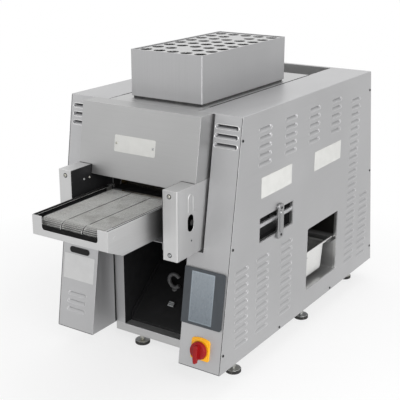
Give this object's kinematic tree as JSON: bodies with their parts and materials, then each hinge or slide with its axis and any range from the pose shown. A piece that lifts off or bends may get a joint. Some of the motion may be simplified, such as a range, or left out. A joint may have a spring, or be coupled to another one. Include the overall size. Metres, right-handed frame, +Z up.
{
  "type": "conveyor toaster",
  "caption": "Countertop belt-fed broiler toaster with a louvred sheet-metal cabinet, feed tray, exhaust hood, discharge bay, side grease pan and touch control",
  "frame": {"origin": "middle of the outer box in plan, on the plane that the feet stand on", "axes": "+Z up, -Y towards the user at the feed tray, +X to the user's right, where the side handle and the grease pan are"},
  "size_m": [0.615, 1.3392, 0.937],
  "materials": {
    "stainless": "brushed sheet",
    "bright_steel": "polished",
    "dark_steel": "black heat-resistant coating",
    "zinc_steel": "plain galvanised",
    "belt_mesh": "woven wire",
    "rubber": "matt",
    "seal": "matt",
    "bezel_plastic": "fine grain",
    "glass": "satin",
    "yellow_plastic": "moulded",
    "red_plastic": "moulded",
    "black_plastic": "moulded",
    "label_white": "bare film",
    "badge_black": "bare film",
    "quartz": "oxidised sheath"
  },
  "bodies": {
    "cabinet": {"base_rails": "zinc_steel", "foot_pads": "rubber", "foot_stems": "zinc_steel", "floor_pan": "zinc_steel", "front_frame": "stainless", "left_side_panel": "stainless", "right_side_panel": "stainless", "rear_panel": "stainless", "top_deck": "stainless", "rear_well": "stainless", "left_column": "stainless", "right_column": "stainless", "left_bracket": "stainless", "right_bracket": "stainless", "left_feed_guide": "dark_steel", "right_feed_guide": "dark_steel", "tray_ledges": "stainless", "tray_pins": "bright_steel", "transfer_plate": "stainless", "hood_gasket": "seal", "chamber_walls": "dark_steel", "broil_belt": "belt_mesh", "heaters": "quartz", "drive_motor": "zinc_steel", "drive_chain": "zinc_steel", "bay_liner": "dark_steel", "return_slide": "dark_steel", "chute_bar": "dark_steel", "pan_bay": "stainless", "pan_runners": "stainless", "slide_recess": "stainless", "guide_rod": "bright_steel", "side_labels": "label_white", "column_badge": "badge_black", "screen_bezel": "bezel_plastic", "screen_glass": "glass", "screen_case": "black_plastic", "switch_plate": "yellow_plastic", "switch_body": "black_plastic", "power_box": "zinc_steel", "cable_gland": "black_plastic", "side_screws": "bright_steel"},
    "cover": {"front_cover": "stainless", "cover_plate": "label_white", "cover_screws": "bright_steel"},
    "hood": {"exhaust_hood": "stainless", "hood_grille": "stainless"},
    "tray": {"feed_tray": "stainless", "slider_bed": "zinc_steel", "feed_belts": "belt_mesh"},
    "front_roller_body": {"front_roller": "bright_steel"},
    "drive_roller_body": {"drive_roller": "bright_steel"},
    "broil_front": {"broil_front_shaft": "bright_steel"},
    "broil_rear": {"broil_rear_shaft": "bright_steel"},
    "drive": {"drive_sprocket": "bright_steel"},
    "knob": {"switch_knob": "red_plastic"},
    "chute": {"discharge_chute": "dark_steel", "chute_grip": "bright_steel"},
    "pan": {"grease_pan": "stainless"},
    "slider": {"slide_handle": "stainless"}
  },
  "joints": [
    {"name": "cover_lift", "type": "slide", "parent": "cabinet", "child": "cover", "axis": [0, 0, 1], "range_m": [0, 0.12]},
    {"name": "hood_lift", "type": "slide", "parent": "cabinet", "child": "hood", "axis": [0, 0, 1], "range_m": [0, 0.16]},
    {"name": "feed_tray_pull", "type": "slide", "parent": "cabinet", "child": "tray", "axis": [0, -1, 0], "range_m": [0, 0.1]},
    {"name": "front_roller_spin", "type": "hinge", "parent": "tray", "child": "front_roller_body", "pos_m": [-0.0053, -0.64164, 0.5235], "axis": [1, 0, 0], "continuous": true},
    {"name": "drive_roller_spin", "type": "hinge", "parent": "tray", "child": "drive_roller_body", "pos_m": [-0.0053, -0.35964, 0.5235], "axis": [1, 0, 0], "continuous": true},
    {"name": "broil_front_spin", "type": "hinge", "parent": "cabinet", "child": "broil_front", "pos_m": [-0.0053, -0.25964, 0.5172], "axis": [1, 0, 0], "continuous": true},
    {"name": "broil_rear_spin", "type": "hinge", "parent": "cabinet", "child": "broil_rear", "pos_m": [-0.0053, 0.28036, 0.5172], "axis": [1, 0, 0], "continuous": true},
    {"name": "drive_sprocket_spin", "type": "hinge", "parent": "cabinet", "child": "drive", "pos_m": [0.1607, 0.20036, 0.415], "axis": [1, 0, 0], "continuous": true},
    {"name": "switch_turn", "type": "hinge", "parent": "cabinet", "child": "knob", "pos_m": [0.2257, -0.40047, 0.1345], "axis": [0, 0.9883, -0.1524], "range_deg": [0, 90]},
    {"name": "chute_pull", "type": "slide", "parent": "cabinet", "child": "chute", "axis": [0, -1, 0], "range_m": [0, 0.2]},
    {"name": "grease_pan_pull", "type": "slide", "parent": "cabinet", "child": "pan", "axis": [1, 0, 0], "range_m": [0, 0.3]},
    {"name": "side_handle_slide", "type": "slide", "parent": "cabinet", "child": "slider", "axis": [0, 1, 0], "range_m": [-0.09, 0.065]}
  ],
  "couplings": [
    {"joint": "broil_front_spin", "follows": "broil_rear_spin", "ratio": 1},
    {"joint": "drive_sprocket_spin", "follows": "broil_rear_spin", "ratio": 1},
    {"joint": "drive_roller_spin", "follows": "broil_rear_spin", "ratio": 1.368},
    {"joint": "front_roller_spin", "follows": "broil_rear_spin", "ratio": 1.368}
  ]
}
